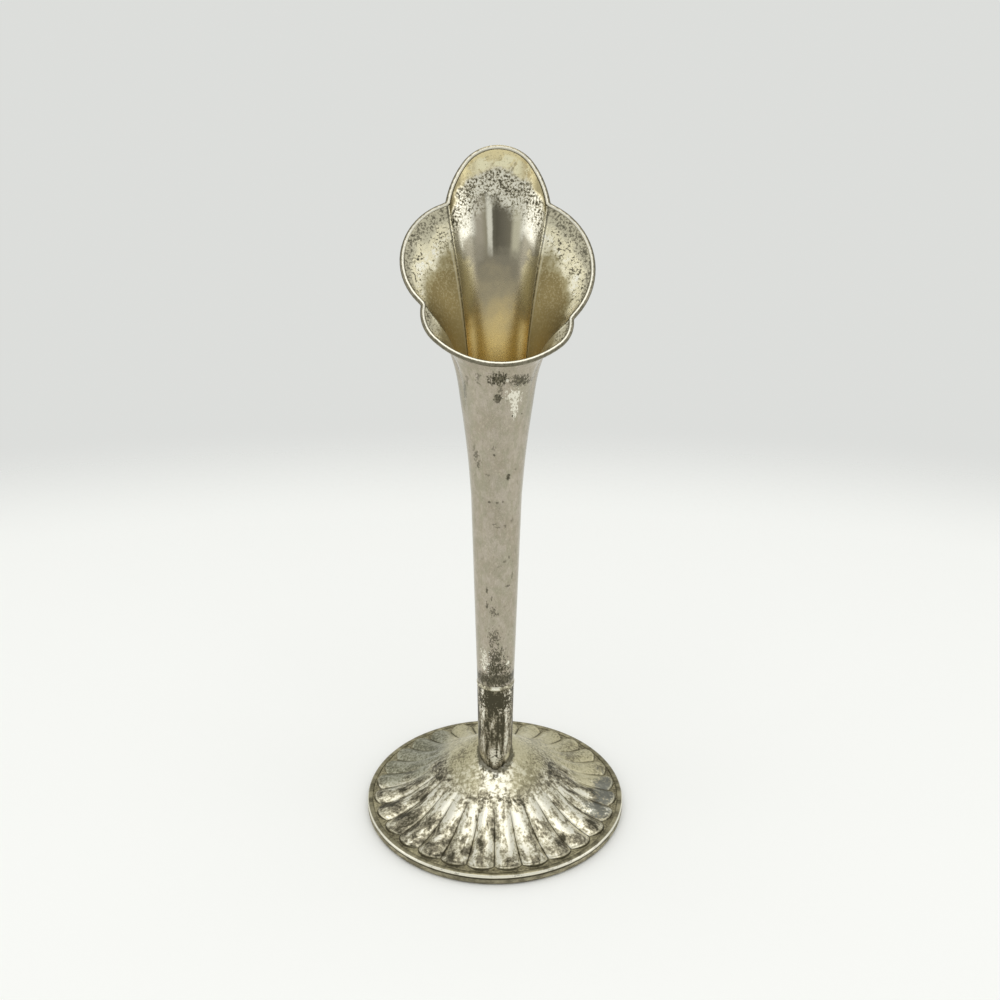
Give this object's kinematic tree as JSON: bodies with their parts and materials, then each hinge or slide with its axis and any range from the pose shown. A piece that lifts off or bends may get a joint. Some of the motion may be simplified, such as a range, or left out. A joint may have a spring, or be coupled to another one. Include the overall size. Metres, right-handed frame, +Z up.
{
  "type": "trumpet vase",
  "caption": "Slim silver-plated bud vase: a leaning tapered trumpet with a slanting lobed mouth on a round fluted foot, made to hold a few cut flowers in water.",
  "frame": {"origin": "middle of the foot on the surface that the vase stands on", "axes": "+Z up, the mouth faces -Y, +X to the right of a viewer who looks into the mouth"},
  "size_m": [0.084, 0.084, 0.2058],
  "materials": {
    "plated_bell": "worn silver plate, gold tarnish in the throat",
    "plated_mouth_wire": "rubbed silver plate",
    "plated_stem": "silver plate with dark specks",
    "plated_ring": "tarnished silver plate",
    "plated_ferrule": "streaked silver plate",
    "bare_plug": "bare metal, dull",
    "plated_foot": "tarnished silver plate, bright on the flutes",
    "plated_rim": "rubbed silver plate, gold in the groove"
  },
  "bodies": {
    "root": {"trumpet_bell": "plated_bell", "mouth_rim_wire": "plated_mouth_wire", "stem_tube": "plated_stem", "stem_ring": "plated_ring", "stem_ferrule": "plated_ferrule", "stem_plug": "bare_plug", "foot_dome": "plated_foot", "foot_rim_wire": "plated_rim"}
  },
  "joints": []
}
